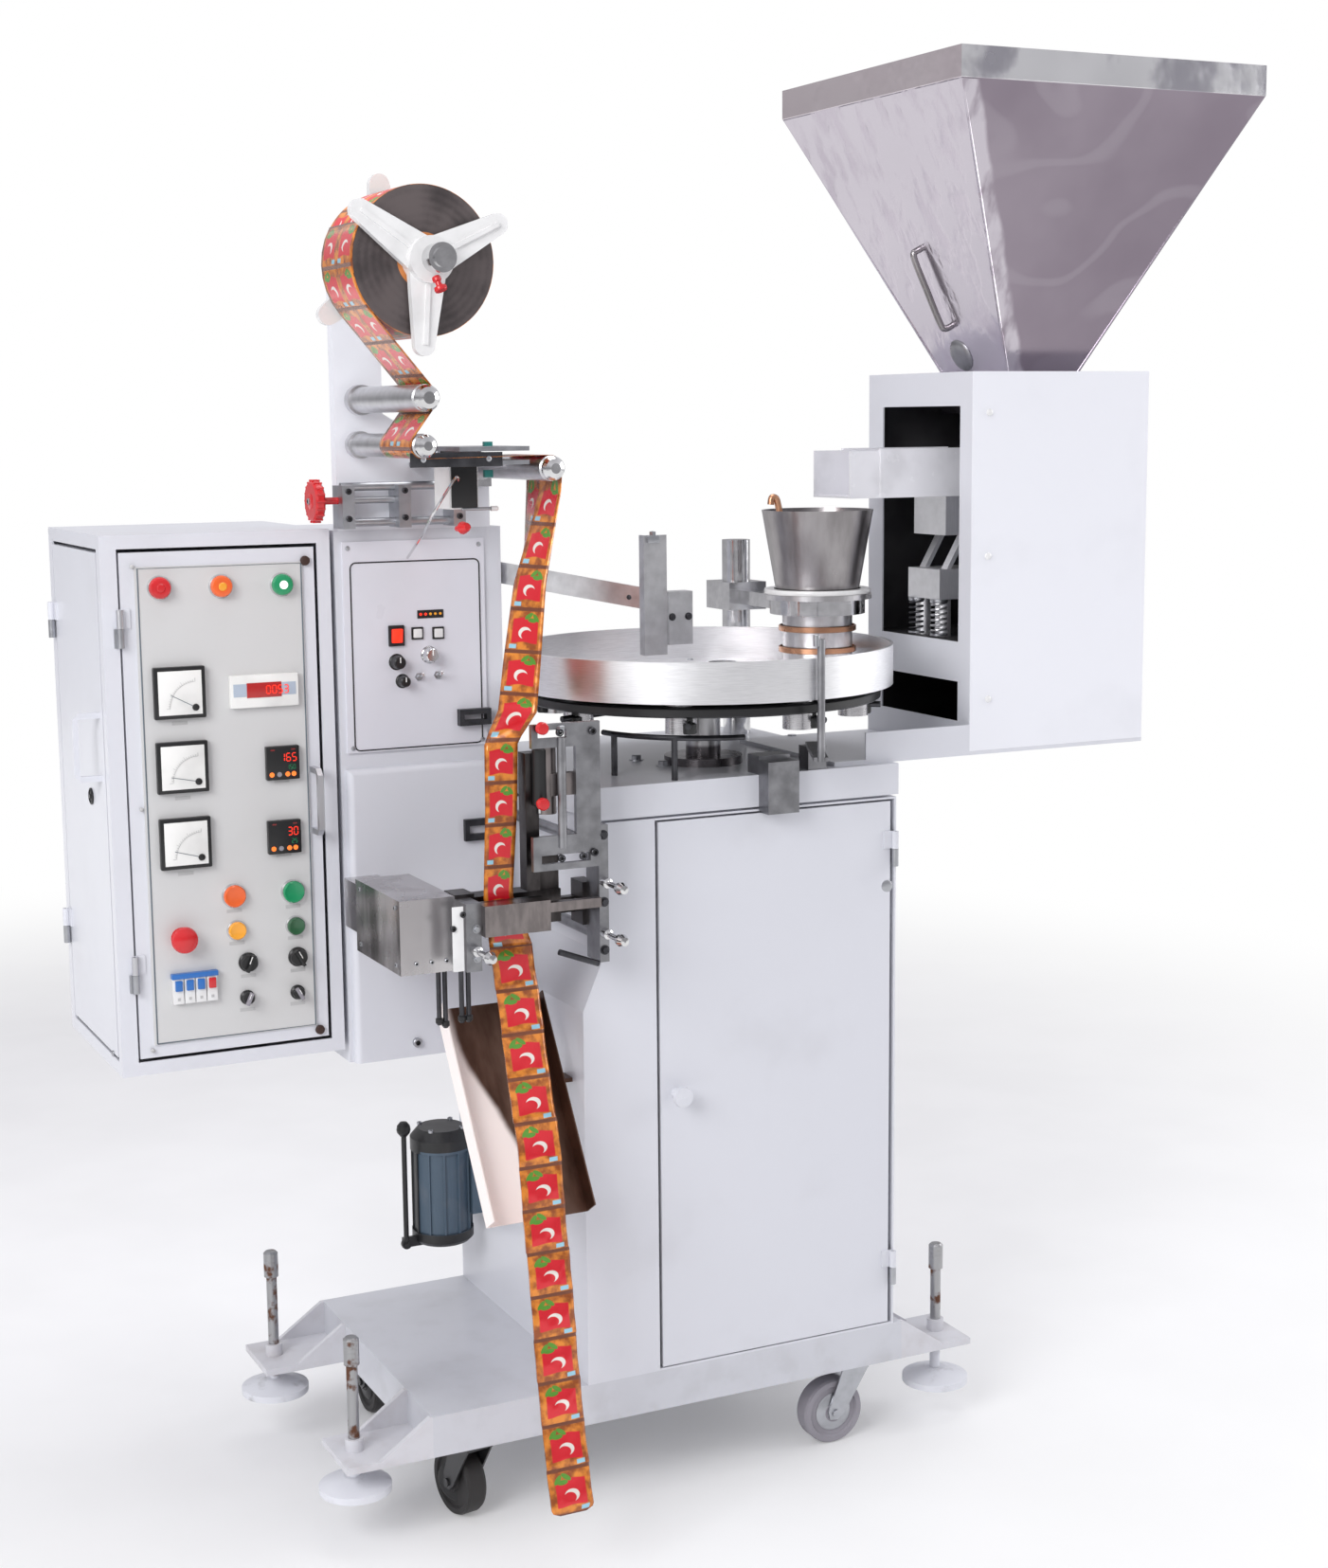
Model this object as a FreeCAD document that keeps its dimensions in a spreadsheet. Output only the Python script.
import FreeCAD, Part
import Sketcher
import math
import os
import re

# Form fill seal machine for small pouches: a film reel and guide rollers on a
# column, a photo register unit, a folding and sealing station with its chain of
# pouches, a cup turntable on a machine table, a vibrating feeder under a large
# product hopper and a control cabinet, all on a welded base with castors and
# levelling screws.
#
# All positions below are in the machine's own grid: X from the left end of the
# base, Y from its front edge, Z from its top plate, in millimetres. Each
# finished piece is then placed so that the origin lies on the floor, under the
# middle of the machine.

V = FreeCAD.Vector
doc = FreeCAD.newDocument("form_fill_seal_machine")

# Sizes that can be set by themselves.
SIZES = {
    # clearances: round pieces that run on each other, and pieces that rest
    "running_play": 0.08, "rest_gap": 0.3,
    # base, levelling screws and castors
    "base_long": 764, "base_deep": 495, "base_high": 60, "base_plate": 6, "beam_wide": 50,
    "lug_reach": 126, "lug_wide": 113, "lug_thick": 10, "gusset_run": 76, "gusset_thick": 8,
    "gusset_nose": 4, "screw_out": 97, "screw_in": 56, "screw_radius": 8, "screw_long": 225,
    "nut_radius": 13, "nut_high": 18, "foot_radius": 51, "foot_high": 22, "left_foot_lift": 81,
    "right_foot_lift": 56, "grip_radius": 11, "grip_long": 40,
    "castor_in_left": 76, "castor_in_right": 64, "castor_in_y": 50, "castor_trail": 35,
    "wheel_radius": 50, "wheel_wide": 30, "axle_radius": 6,
    "fork_gap": 18.5, "fork_thick": 3, "fork_half": 23, "castor_high": 130, "castor_plate": 4,
    "castor_plate_half": 42,
    "race_radius": 22, "race_high": 8,
    # cabinet under the table
    "body_in": 15, "body_long": 511, "body_high": 816, "body_wall": 3, "notch_deep": 34,
    "notch_down": 187, "notch_slope": 79, "notch_back": 272, "strip_wide": 114.5,
    "door_gap": 5, "door_thick": 20, "door_sheet": 2, "hinge_out": 6, "hinge_radius": 5,
    "hinge_pin": 2.5, "hinge_long": 26, "hinge_leaf": 2.5, "hinge_wing": 12, "hinge_up": 66,
    "hinge_down": 103, "knob_up": 414, "knob_in": 24,
    # table
    "table_in": 23, "table_lip": 2, "table_front": -3, "table_gap": 4, "table_high": 46,
    "table_foot_in": 14,
    # head housing
    "head_long": 253, "head_front": 272, "head_drop": 372, "head_high": 774, "bulge_high": 433,
    "bulge_out": 14, "bulge_in": 6, "bulge_round": 9, "photo_plate_wide": 215,
    "photo_plate_high": 302, "photo_plate_down": 16, "photo_plate_thick": 4,
    # column, reel and rollers
    "column_in": 6, "column_wide": 71, "column_thick": 20, "column_high": 392,
    "brace_low": 69, "brace_high": 163, "brace_wide": 231,
    "film_y": -4, "film_wide": 124, "film_thick": 0.6, "film_gap": 0.4,
    "reel_in": 36, "reel_down": 35, "reel_radius": 97, "core_radius": 30, "reel_shaft": 12.5,
    "shaft_out": 74, "collar_radius": 19, "collar_long": 26, "spider_gap": 6, "spider_thick": 12,
    "spider_reach": 122, "spider_root": 27, "spider_tip": 14, "hub_out": 14,
    "roller_shaft": 6, "roller_over": 6, "roller_back": 12, "dome_long": 13,
    "upper_back": 4, "upper_down": 175, "upper_radius": 18,
    "lower_back": 7, "lower_down": 62, "lower_radius": 16,
    "exit_out": 173, "exit_down": 32, "exit_radius": 17,
    # register unit on the column
    "block_thick": 18, "block_deep": 43, "block_high": 66, "block_up": 4, "left_block_in": 6,
    "block_span": 83, "block_far": 165, "register_rod": 6, "spindle_radius": 5, "wheel_out": 26,
    "hand_radius": 29, "hand_thick": 14, "guide_wide": 134, "guide_long": 100, "guide_thick": 6,
    "sensor_long": 41, "sensor_deep": 58, "sensor_high": 60,
    # control cabinet
    "case_gap": 7, "case_long": 325, "case_deep": 327, "case_up": 21, "case_high": 756,
    "case_wall": 3, "case_rim": 24, "case_hinge_up": 120, "case_hinge_down": 153,
    "panel_in": 20, "panel_thick": 3, "handle_out": 38, "handle_high": 96, "handle_thick": 8,
    "handle_up": 415, "front_handle_up": 325, "handle_round": 9, "meter_wide": 72,
    "controller_wide": 48, "counter_wide": 98,
    "counter_high": 46, "breaker_wide": 72, "breaker_high": 44, "instrument_out": 10,
    "lamp_radius": 16, "selector_radius": 12, "stop_radius": 21,
    # turntable and filling cone
    "turn_y": 150, "turn_radius": 280, "ring_over": 119, "ring_high": 58, "ring_wall": 5,
    "dish_thick": 8, "spigot_radius": 18, "hub_radius": 26, "hub_flange": 58,
    "hub_flange_thick": 12, "cup_count": 8, "cup_radius": 22, "cup_wall": 2, "cup_deep": 46,
    "cup_lip": 5, "cup_circle": 222, "cup_turn": 10,
    "cone_out": 206, "cone_back": 20, "cone_wall": 3, "throat_radius": 53, "throat_gap": 5,
    "throat_high": 107, "flange_radius": 82, "flange_thick": 8, "cone_foot": 62,
    "cone_radius": 84, "cone_high": 125, "post_side": 7, "post_back": 250, "post_radius": 22.5,
    "post_high": 312, "arm_wide": 30, "arm_high": 22, "clamp_half": 33, "clamp_high": 44,
    # feeder box, vibrating feeder and hopper
    "box_over": 135, "box_long": 319, "box_y": 14, "box_deep": 295, "box_high": 563,
    "box_wall": 3, "cover_thick": 2, "tray_in": 99, "tray_thick": 6, "tray_lip_in": 46,
    "tray_lip_high": 46, "mouth_side": 34, "mouth_rear": 42, "mouth_top": 50, "shelf_up": 156,
    "shelf_thick": 6, "low_mouth_up": 42, "low_mouth_high": 60,
    "trough_over": 23, "trough_in": 98, "trough_wide": 110, "trough_down": 185,
    "trough_high": 70, "trough_wall": 3, "jacket_back": 51, "jacket_long": 190, "trough_end_in": 95,
    "spring_high": 58,
    "spring_radius": 12, "drive_long": 190, "drive_deep": 90, "drive_high": 46, "drive_in": 14,
    "leaf_wide": 8, "leaf_deep": 16, "leaf_lean": 38, "saddle_high": 60, "saddle_long": 170,
    "rim_over": 107, "rim_long": 532, "rim_front": 124, "rim_deep": 508, "hopper_high": 440,
    "rim_band": 43, "outlet_in": 90, "outlet_long": 128, "outlet_back": 44, "outlet_deep": 178,
    "outlet_drop": 60, "hopper_wall": 3,
    # sealing station, film and pouches
    "web_in": 118, "web_y": -27, "jaw_down": 130, "jaw_high": 42, "jaw_deep": 36,
    "jaw_open": 11, "jaw_left": 55, "jaw_right": 40, "frame_left": 20, "frame_right": 12,
    "frame_thick": 8, "frame_out": 30, "frame_up": 80, "frame_high": 199, "frame_low_bar": 47,
    "frame_top_bar": 32, "frame_bar": 36, "block_high": 60, "guide_rod": 8, "side_plate": 14,
    "side_plate_deep": 37,
    "side_plate_high": 191, "side_plate_down": 55, "left_plate": 22, "left_plate_high": 93,
    "plunger_long": 67, "cover_long": 79, "cover_high": 102, "cover_deep": 180, "cover_neck": 50,
    "heater_radius": 13, "heater_high": 92, "pouch_wide": 62, "pouch_pitch": 57,
    "pouch_count": 13, "pouch_fat": 6, "chain_gap": 26, "chain_out": 184,
    # chute
    "chute_low": 285, "chute_rise": 265, "chute_foot": -66, "chute_run": 174, "chute_wide": 152,
    "chute_lip": 32, "chute_sheet": 2,
    # drive
    "motor_side": 68, "motor_y": 400, "motor_low": 105, "motor_high": 182, "motor_radius": 48,
    "motor_end": 20, "fin_deep": 4, "fin_thick": 3, "lever_side": 65, "lever_radius": 4,
    "lever_long": 175, "lever_pin": 3, "lever_up": 5, "lever_knob": 11, "lever_eye": 8,
    # fittings on the table
    "stop_wide": 50, "stop_high": 75, "stop_out": 29, "blade_high": 171, "blade_long": 36,
    "bar_long": 272, "bar_high": 31, "bar_drop": 41, "pin_radius": 5.5, "pin_high": 170,
}

# Places that follow from the sizes.
PLACES = {
    "body_end": "base_long - body_in", "body_x": "body_end - body_long",
    "table_x": "body_x + table_in", "table_end": "body_end + table_lip",
    "table_low": "body_high + table_gap", "table_top": "table_low + table_high",
    "notch_high": "body_high - notch_down", "notch_low": "notch_high - notch_slope",
    "strip_end": "body_x + strip_wide", "door_x": "strip_end + door_gap",
    "door_end": "body_end - body_wall - door_gap - 2", "hinge_x": "body_end - door_gap",
    "head_x": "body_x - head_long", "head_low": "body_high - head_drop",
    "head_top": "head_low + head_high", "head_step": "head_low + bulge_high",
    "bulge_front": "head_front - bulge_out",
    "column_x": "head_x + column_in", "column_top": "head_top + column_high",
    "brace_end": "column_x + brace_wide",
    "reel_x": "column_x + reel_in", "reel_z": "column_top - reel_down",
    "upper_x": "reel_x - upper_back", "upper_z": "reel_z - upper_down",
    "lower_x": "reel_x - lower_back", "lower_z": "upper_z - lower_down",
    "exit_x": "reel_x + exit_out", "exit_z": "lower_z - exit_down",
    "block_z": "head_top + block_up", "block_y": "head_front - block_deep",
    "block_mid": "block_z + block_high/2",
    "block_x": "column_x - left_block_in", "guide_x": "lower_x + 52", "guide_y": "film_y + 4",
    "case_end": "head_x - case_gap", "case_x": "case_end - case_long",
    "case_low": "head_low + case_up", "case_top": "case_low + case_high",
    "case_door_x": "case_x + case_rim + 2", "case_door_end": "case_end - case_rim",
    "case_door_low": "case_low + case_rim", "case_door_high": "case_high - 2*case_rim",
    "panel_y": "head_front - panel_thick", "side_y": "head_front + case_rim",
    "side_end": "head_front + case_deep - case_rim - 2",
    "turn_x": "(table_x + table_end)/2", "ring_low": "table_top + ring_over",
    "ring_top": "ring_low + ring_high", "dish_floor": "ring_low + dish_thick",
    "cone_x": "turn_x + cone_out", "cone_y": "turn_y + cone_back",
    "flange_z": "dish_floor + throat_high", "post_x": "cone_x - post_side",
    "post_y": "cone_y + post_back",
    "box_x": "table_end + box_over", "box_end": "box_x + box_long",
    "box_low": "table_top + tray_thick", "box_top": "box_low + box_high",
    "shelf_top": "box_low + shelf_up + shelf_thick",
    "trough_x": "cone_x + trough_over", "trough_y": "box_y + trough_in",
    "trough_z": "box_top - trough_down",
    "trough_end": "box_end - trough_end_in", "drive_x": "box_x + drive_in",
    "drive_y": "trough_y + 10", "drive_z": "shelf_top + spring_high",
    "saddle_z": "trough_z - saddle_high",
    "outlet_x": "box_x + outlet_in", "outlet_end": "outlet_x + outlet_long",
    "outlet_y": "box_y + outlet_back",
    "rim_x": "box_x - rim_over", "rim_end": "rim_x + rim_long", "rim_y": "box_y - rim_front",
    "rim_top": "box_top + hopper_high", "band_low": "rim_top - rim_band",
    "web_x": "body_x - web_in", "jaw_z": "table_low - jaw_down", "jaw_top": "jaw_z + jaw_high",
    "frame_x": "web_x + frame_left", "frame_end": "body_x + frame_right",
    "frame_y": "web_y - frame_out - frame_thick",
    "plate_front": "web_y - frame_out - frame_thick + 2", "frame_low": "jaw_z + frame_up",
    "frame_top": "frame_low + frame_high", "plate_low": "jaw_z - side_plate_down",
    "left_x": "web_x - jaw_left - left_plate",
    "plate_x": "body_x - 1", "front_jaw_y": "web_y - jaw_open - jaw_deep",
    "rear_jaw_y": "web_y + jaw_open", "chute_x": "web_x - 60",
    "chute_slope": "sqrt(chute_run^2 + chute_rise^2)",
    "chain_top": "jaw_z - chain_gap", "motor_x": "body_x - motor_side",
    "motor_top": "motor_low + motor_high",
    "lever_x": "motor_x - lever_side", "lever_z": "motor_low + lever_up",
}

sheet = doc.addObject("Spreadsheet::Sheet", "Sizes")
for row, (alias, value) in enumerate(SIZES.items(), 1):
    sheet.set(f"A{row}", alias)
    sheet.set(f"B{row}", str(value))
    sheet.setAlias(f"B{row}", alias)


def on_sizes(match):
    word = match.group(0)
    return "Sizes." + word if word in SIZES else word


places = doc.addObject("Spreadsheet::Sheet", "Places")
for row, (alias, text) in enumerate(PLACES.items(), 1):
    places.set(f"A{row}", alias)
    places.set(f"B{row}", "=" + re.sub(r"[a-z_]+", on_sizes, text))
    places.setAlias(f"B{row}", alias)
doc.recompute()


def ex(text):
    """An expression on the two sheets' cells, from one that uses their bare names."""
    def full(match):
        word = match.group(0)
        return "Sizes." + word if word in SIZES else "Places." + word if word in PLACES else word
    return re.sub(r"[A-Za-z_]\w*", full, str(text))


def size(alias):
    return float((sheet if alias in SIZES else places).get(alias))


def bind(obj, **sizes):
    for prop, text in sizes.items():
        obj.setExpression(prop, ex(text))
    return obj


def put(obj, x=0, y=0, z=0, turn=None):
    if turn:
        obj.Placement = FreeCAD.Placement(V(), FreeCAD.Rotation(V(*turn[0]), turn[1]))
    for axis, text in zip("xyz", (x, y, z)):
        obj.setExpression("Placement.Base." + axis, ex(text))
    return obj


TURN = {"X": ((0, 1, 0), 90), "Y": ((1, 0, 0), -90), "Z": None}


def box(name, x, y, z, long, deep, high):
    block = doc.addObject("Part::Box", name)
    bind(block, Length=long, Width=deep, Height=high)
    return put(block, x, y, z)


def rod(name, axis, x, y, z, radius, long):
    """A round bar that starts at (x, y, z) and runs along an axis."""
    bar = doc.addObject("Part::Cylinder", name)
    bind(bar, Radius=radius, Height=long)
    return put(bar, x, y, z, TURN[axis])


def outline(body, plane, points, offset=0):
    """A closed sketch whose corners are tied to the sheet, on one of the body's planes."""
    sketch = body.newObject("Sketcher::SketchObject", body.Name + "_sketch")
    face = [o for o in body.Origin.OriginFeatures if o.Role == plane][0]
    sketch.AttachmentSupport = [(face, "")]
    sketch.MapMode = "FlatFace"
    count = len(points)
    start = [V(10 * math.cos(2 * math.pi * i / count), 10 * math.sin(2 * math.pi * i / count))
             for i in range(count)]
    lines = [Part.LineSegment(start[i], start[(i + 1) % count]) for i in range(count)]
    sketch.addGeometry(lines, False)
    ties = [Sketcher.Constraint("Coincident", i, 2, (i + 1) % count, 1) for i in range(count)]
    for i in range(count):
        ties.append(Sketcher.Constraint("DistanceX", -1, 1, i, 1, 1.0))
        ties.append(Sketcher.Constraint("DistanceY", -1, 1, i, 1, 1.0))
    sketch.addConstraint(ties)
    for i, (across, up) in enumerate(points):
        sketch.setExpression(f"Constraints[{count + 2 * i}]", ex(across))
        sketch.setExpression(f"Constraints[{count + 2 * i + 1}]", ex(up))
    sketch.setExpression("AttachmentOffset.Base.z", ex(offset))
    return sketch


def slab(name, plane, points, start, long):
    """An outline padded from start towards the plus side of its plane's axis."""
    body = doc.addObject("PartDesign::Body", name)
    flip = plane == "XZ_Plane"
    sketch = outline(body, plane, points, f"-({start})" if flip else start)
    pad = body.newObject("PartDesign::Pad", name + "_pad")
    pad.Profile = sketch
    pad.Reversed = flip
    bind(pad, Length=long)
    body.Tip = pad
    return body


def turned(name, points, x=0, y=0, z=0, axis="Z", arc=360):
    """A profile of radius and height turned round its axis, which starts at (x, y, z)."""
    body = doc.addObject("PartDesign::Body", name)
    sketch = outline(body, "XZ_Plane", points)
    lathe = body.newObject("PartDesign::Revolution", name + "_lathe")
    lathe.Profile = sketch
    lathe.ReferenceAxis = (sketch, ["V_Axis"])
    lathe.Angle = arc
    body.Tip = lathe
    return put(body, x, y, z, TURN[axis])


def fuse(name, pieces):
    whole = doc.addObject("Part::MultiFuse", name)
    whole.Shapes = pieces
    whole.Refine = True
    return whole


def cut(name, base, tools):
    result = doc.addObject("Part::Cut", name)
    result.Base = base
    result.Tool = tools[0] if len(tools) == 1 else fuse(name + "_tools", tools)
    result.Refine = True
    return result


def turn_about(name, piece, x, y, angle, z=0, axis=(0, 0, 1)):
    """A piece, modelled about its own zero, turned and moved to (x, y, z)."""
    held = doc.addObject("Part::Compound", name)
    held.Links = [piece]
    return put(held, x, y, z, (axis, angle))

def bar_handle(name, plane, near, far, low, start, thick):
    """A bent flat bar that stands out of a door, from near to far, as an outline with cut corners."""
    high, cut_in = f"{low} + handle_high", "handle_round"
    outer = [(near, low), (f"{far} + {cut_in}", low), (far, f"{low} + {cut_in}"),
             (far, f"{high} - {cut_in}"), (f"{far} + {cut_in}", high), (near, high)]
    inner = [(near, f"{high} - handle_thick"), (f"{far} + {cut_in}", f"{high} - handle_thick"),
             (f"{far} + handle_thick", f"{high} - {cut_in}"), (f"{far} + handle_thick", f"{low} + {cut_in}"),
             (f"{far} + {cut_in}", f"{low} + handle_thick"), (near, f"{low} + handle_thick")]
    return slab(name, plane, outer + inner, start, thick)


NODES = []
CENTRE_X = "(case_x - handle_out + rim_end)/2"
CENTRE_Y = "(web_y - chain_out + head_front + case_deep)/2"
FLOOR_Z = "-(castor_high + base_high)"


def node(name, pieces):
    """A finished piece: one or more solids, moved from the grid to the floor origin."""
    whole = doc.addObject("Part::Compound", name)
    whole.Label = name
    whole.Links = pieces
    put(whole, f"-({CENTRE_X})", f"-({CENTRE_Y})", "castor_high + base_high")
    NODES.append(whole)
    return whole


# Base frame: a plate on a ring of beams with one cross beam, open underneath.
def base_frame():
    outer = box("base_block", 0, 0, "-base_high", "base_long", "base_deep", "base_high")
    bays = []
    for i, start in enumerate(("beam_wide", "(base_long + beam_wide)/2")):
        bays.append(box(f"base_bay_{i}", start, "beam_wide", "-base_high - 1",
                        "(base_long - 3*beam_wide)/2", "base_deep - 2*beam_wide",
                        "base_high - base_plate + 1"))
    node("base_frame", [cut("base_welded", outer, bays)])


CORNERS = {
    "front_left": (-1, "0", "-screw_out", "screw_in", "left_foot_lift"),
    "rear_left": (-1, "base_deep - lug_wide", "-screw_out", "base_deep - screw_in", "left_foot_lift"),
    "front_right": (1, "0", "base_long + screw_out", "screw_in", "right_foot_lift"),
    "rear_right": (1, "base_deep - lug_wide", "base_long + screw_out", "base_deep - screw_in",
                   "right_foot_lift"),
}


def lug(corner):
    """A plate at the base's foot with two sloped gussets and a welded nut, bored through."""
    side, low_y, screw_x, screw_y = CORNERS[corner][:4]
    at = "0" if side < 0 else "base_long"
    reach = "-lug_reach" if side < 0 else "base_long"
    tab = box(f"lug_tab_{corner}", reach, low_y, "-base_high", "lug_reach", "lug_wide", "lug_thick")
    run = f"{at} + ({side})*gusset_run"
    foot = "-base_high + lug_thick"
    shape = [(at, foot), (at, "0"), (f"{at} + ({side})*gusset_nose", "0"), (run, foot)]
    ribs = [slab(f"lug_rib_{corner}_{i}", "XZ_Plane", shape, y, "gusset_thick")
            for i, y in enumerate((low_y, f"{low_y} + lug_wide - gusset_thick"))]
    nut = rod(f"lug_nut_{corner}", "Z", screw_x, screw_y, foot, "nut_radius", "nut_high")
    bore = rod(f"lug_bore_{corner}", "Z", screw_x, screw_y, "-base_high - 1",
               "screw_radius + running_play", "lug_thick + nut_high + 2")
    return cut(f"lug_{corner}", fuse(f"lug_welded_{corner}", [tab, nut] + ribs), [bore])


def levelling_screw(corner):
    """A round foot, a long screw and a knurled grip at its top."""
    screw_x, screw_y, lift = CORNERS[corner][2:]
    profile = [("0", "0"), ("foot_radius", "0"), ("foot_radius", "foot_high*0.45"),
               ("screw_radius*2", "foot_high"), ("screw_radius", "foot_high"),
               ("screw_radius", "screw_long - grip_long"), ("grip_radius", "screw_long - grip_long"),
               ("grip_radius", "screw_long - 3"), ("grip_radius - 3", "screw_long"), ("0", "screw_long")]
    screw = turned(f"screw_{corner}", profile, screw_x, screw_y, f"{lift} + ({FLOOR_Z})")
    node(f"levelling_screw_{corner}", [screw])


# Each castor's swivel and the angle that its fork stands at.
CASTORS = {
    "front_left": ("castor_in_left", "castor_in_y", -80),
    "rear_left": ("castor_in_left", "base_deep - castor_in_y", -90),
    "front_right": ("base_long - castor_in_right", "castor_in_y", 0),
    "rear_right": ("base_long - castor_in_right", "base_deep - castor_in_y", 0),
}
AXLE_Z = f"{FLOOR_Z} + wheel_radius"
RACE_Z = "-base_high - castor_plate - race_high"


def castor_mount(corner):
    x, y = CASTORS[corner][:2]
    plate = box(f"castor_plate_{corner}", f"{x} - castor_plate_half", f"{y} - castor_plate_half",
                "-base_high - castor_plate", "2*castor_plate_half", "2*castor_plate_half", "castor_plate")
    race = rod(f"castor_race_{corner}", "Z", x, y, RACE_Z, "race_radius", "race_high")
    return fuse(f"castor_top_{corner}", [plate, race])


def castor_fork(corner):
    """A crown under the race, two legs that lean back and the wheel's axle."""
    x, y, angle = CASTORS[corner]
    crown_z = f"{RACE_Z} - rest_gap - 4"
    wide = "fork_gap + fork_thick"
    crown = box(f"fork_crown_{corner}", "-fork_half", f"-({wide})", crown_z, "2*fork_half", f"2*({wide})", 4)
    leg = [("-fork_half", f"{crown_z} + 2"), ("-castor_trail - 13", f"{AXLE_Z} + 4"),
           ("-castor_trail - 10", f"{AXLE_Z} - 9"), ("-castor_trail + 4", f"{AXLE_Z} - 11"),
           ("-castor_trail + 15", f"{AXLE_Z} - 2"), ("fork_half", f"{crown_z} + 2")]
    legs = [slab(f"fork_leg_{corner}_{i}", "XZ_Plane", leg, start, "fork_thick")
            for i, start in enumerate((f"-({wide})", "fork_gap"))]
    axle = rod(f"fork_axle_{corner}", "Y", "-castor_trail", f"-({wide}) - 3", AXLE_Z, "axle_radius",
               f"2*({wide}) + 6")
    held = turn_about(f"fork_set_{corner}", fuse(f"fork_{corner}", [crown, axle] + legs), x, y, angle)
    node(f"castor_fork_{corner}", [held])


def castor_wheel(corner):
    x, y, angle = CASTORS[corner]
    bore, half = "axle_radius + running_play", "wheel_wide/2"
    side = [(bore, f"{half} + 2"), (f"{bore} + 9", f"{half} + 2"), (f"{bore} + 11", f"{half} - 3"),
            ("wheel_radius - 12", f"{half} - 3"), ("wheel_radius - 10", half), ("wheel_radius - 2", half),
            ("wheel_radius", f"{half} - 4")]
    profile = side + [(r, f"-({h})") for r, h in side[::-1]]
    wheel = turned(f"wheel_{corner}", profile, "-castor_trail", 0, AXLE_Z, "Y")
    node(f"castor_wheel_{corner}", [turn_about(f"wheel_set_{corner}", wheel, x, y, angle)])


# Cabinet under the table: a sheet shell, notched beside the sealing station, and
# the fixed strip left of its door.
def body_shell():
    corner = "body_x + notch_deep"

    def section(wall, end):
        return [(f"body_x + {wall}", wall), (f"{end} - {wall}", wall),
                (f"{end} - {wall}", f"body_high - {wall}"), (f"{corner} + {wall}", f"body_high - {wall}"),
                (f"{corner} + {wall}", f"notch_high - {wall}*0.2"),
                (f"body_x + {wall}", f"notch_low - {wall}*0.2")]

    front = slab("shell_front_out", "XZ_Plane", section("0", "body_end"), 0, "notch_back")
    rear = box("shell_rear_out", "body_x", "notch_back", 0, "body_long", "base_deep - notch_back", "body_high")
    hollow = slab("shell_front_in", "XZ_Plane", section("body_wall", "body_end"), -1,
                  "notch_back + 1 - body_wall")
    rear_hollow = box("shell_rear_in", f"{corner} + body_wall", "notch_back - body_wall - 1", "body_wall",
                      "body_long - notch_deep - 2*body_wall", "base_deep - notch_back + 1",
                      "body_high - 2*body_wall")
    sheets = cut("shell", fuse("shell_out", [front, rear]), [hollow, rear_hollow])
    strip = slab("front_strip", "XZ_Plane", section("body_wall", "strip_end + body_wall"), 0, "body_wall")
    node("body_shell", [fuse("shell_all", [sheets, strip])])


def hinge_set(name, x, y, heights, leaf_x, leaf_wide, leaf_y, leaf_deep):
    """Fixed lower barrels with their pins and leaves, one for each height."""
    parts = []
    for i, z in enumerate(heights):
        barrel = rod(f"{name}_barrel_{i}", "Z", x, y, z, "hinge_radius", "hinge_long")
        pin = rod(f"{name}_pin_{i}", "Z", x, y, z, "hinge_pin", "hinge_long*2")
        leaf = box(f"{name}_leaf_{i}", leaf_x, leaf_y, z, leaf_wide, leaf_deep, "hinge_long")
        parts.append(fuse(f"{name}_{i}", [barrel, pin, leaf]))
    return parts


def hinge_knuckles(name, x, y, heights, leaf_x, leaf_wide, leaf_y, leaf_deep):
    """The door's upper barrels, bored for the pins, and the bores for cutting."""
    parts, bores = [], []
    for i, z in enumerate(heights):
        high = f"{z} + hinge_long + 0.4"
        parts.append(rod(f"{name}_knuckle_{i}", "Z", x, y, high, "hinge_radius", "hinge_long"))
        parts.append(box(f"{name}_wing_{i}", leaf_x, leaf_y, high, leaf_wide, leaf_deep, "hinge_long"))
        bores.append(rod(f"{name}_bore_{i}", "Z", x, y, f"{high} - 1", "hinge_pin + running_play",
                         "hinge_long + 2"))
    return parts, bores


def door_pan(name, x, y, z, long, deep, high, room):
    """A sheet tray with its open side inwards; room is its hollow's (x, y, long, deep)."""
    pan = box(f"{name}_pan", x, y, z, long, deep, high)
    hollow = box(f"{name}_hollow", room[0], room[1], f"{z} + door_sheet", room[2], room[3],
                 f"{high} - 2*door_sheet")
    return cut(f"{name}_tray", pan, [hollow])


BODY_HINGES = ("hinge_up", "body_high - hinge_down")


def body_door():
    wide = "door_end - door_x"
    pan = door_pan("door", "door_x", 0, "door_gap", wide, "door_thick", "body_high - 2*door_gap - 1",
                   ("door_x + door_sheet", "door_sheet", f"{wide} - 2*door_sheet", "door_thick"))
    knuckles, bores = hinge_knuckles("door", "hinge_x", "-hinge_out", BODY_HINGES, "door_end - hinge_wing",
                                     "hinge_x - door_end + hinge_wing", "-hinge_leaf", "hinge_leaf")
    knob = turned("door_knob", [("0", "-2"), ("8", "-2"), ("7", "8"), ("15", "22"), ("14", "28"), ("0", "30")])
    put(knob, "door_x + knob_in", 0, "knob_up", ((1, 0, 0), 90))
    node("body_door", [cut("door", fuse("door_all", [pan, knob] + knuckles), bores)])
    return hinge_set("door_hinge", "hinge_x", "-hinge_out", BODY_HINGES, "hinge_x", "body_end - hinge_x", -4, 4)


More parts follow.
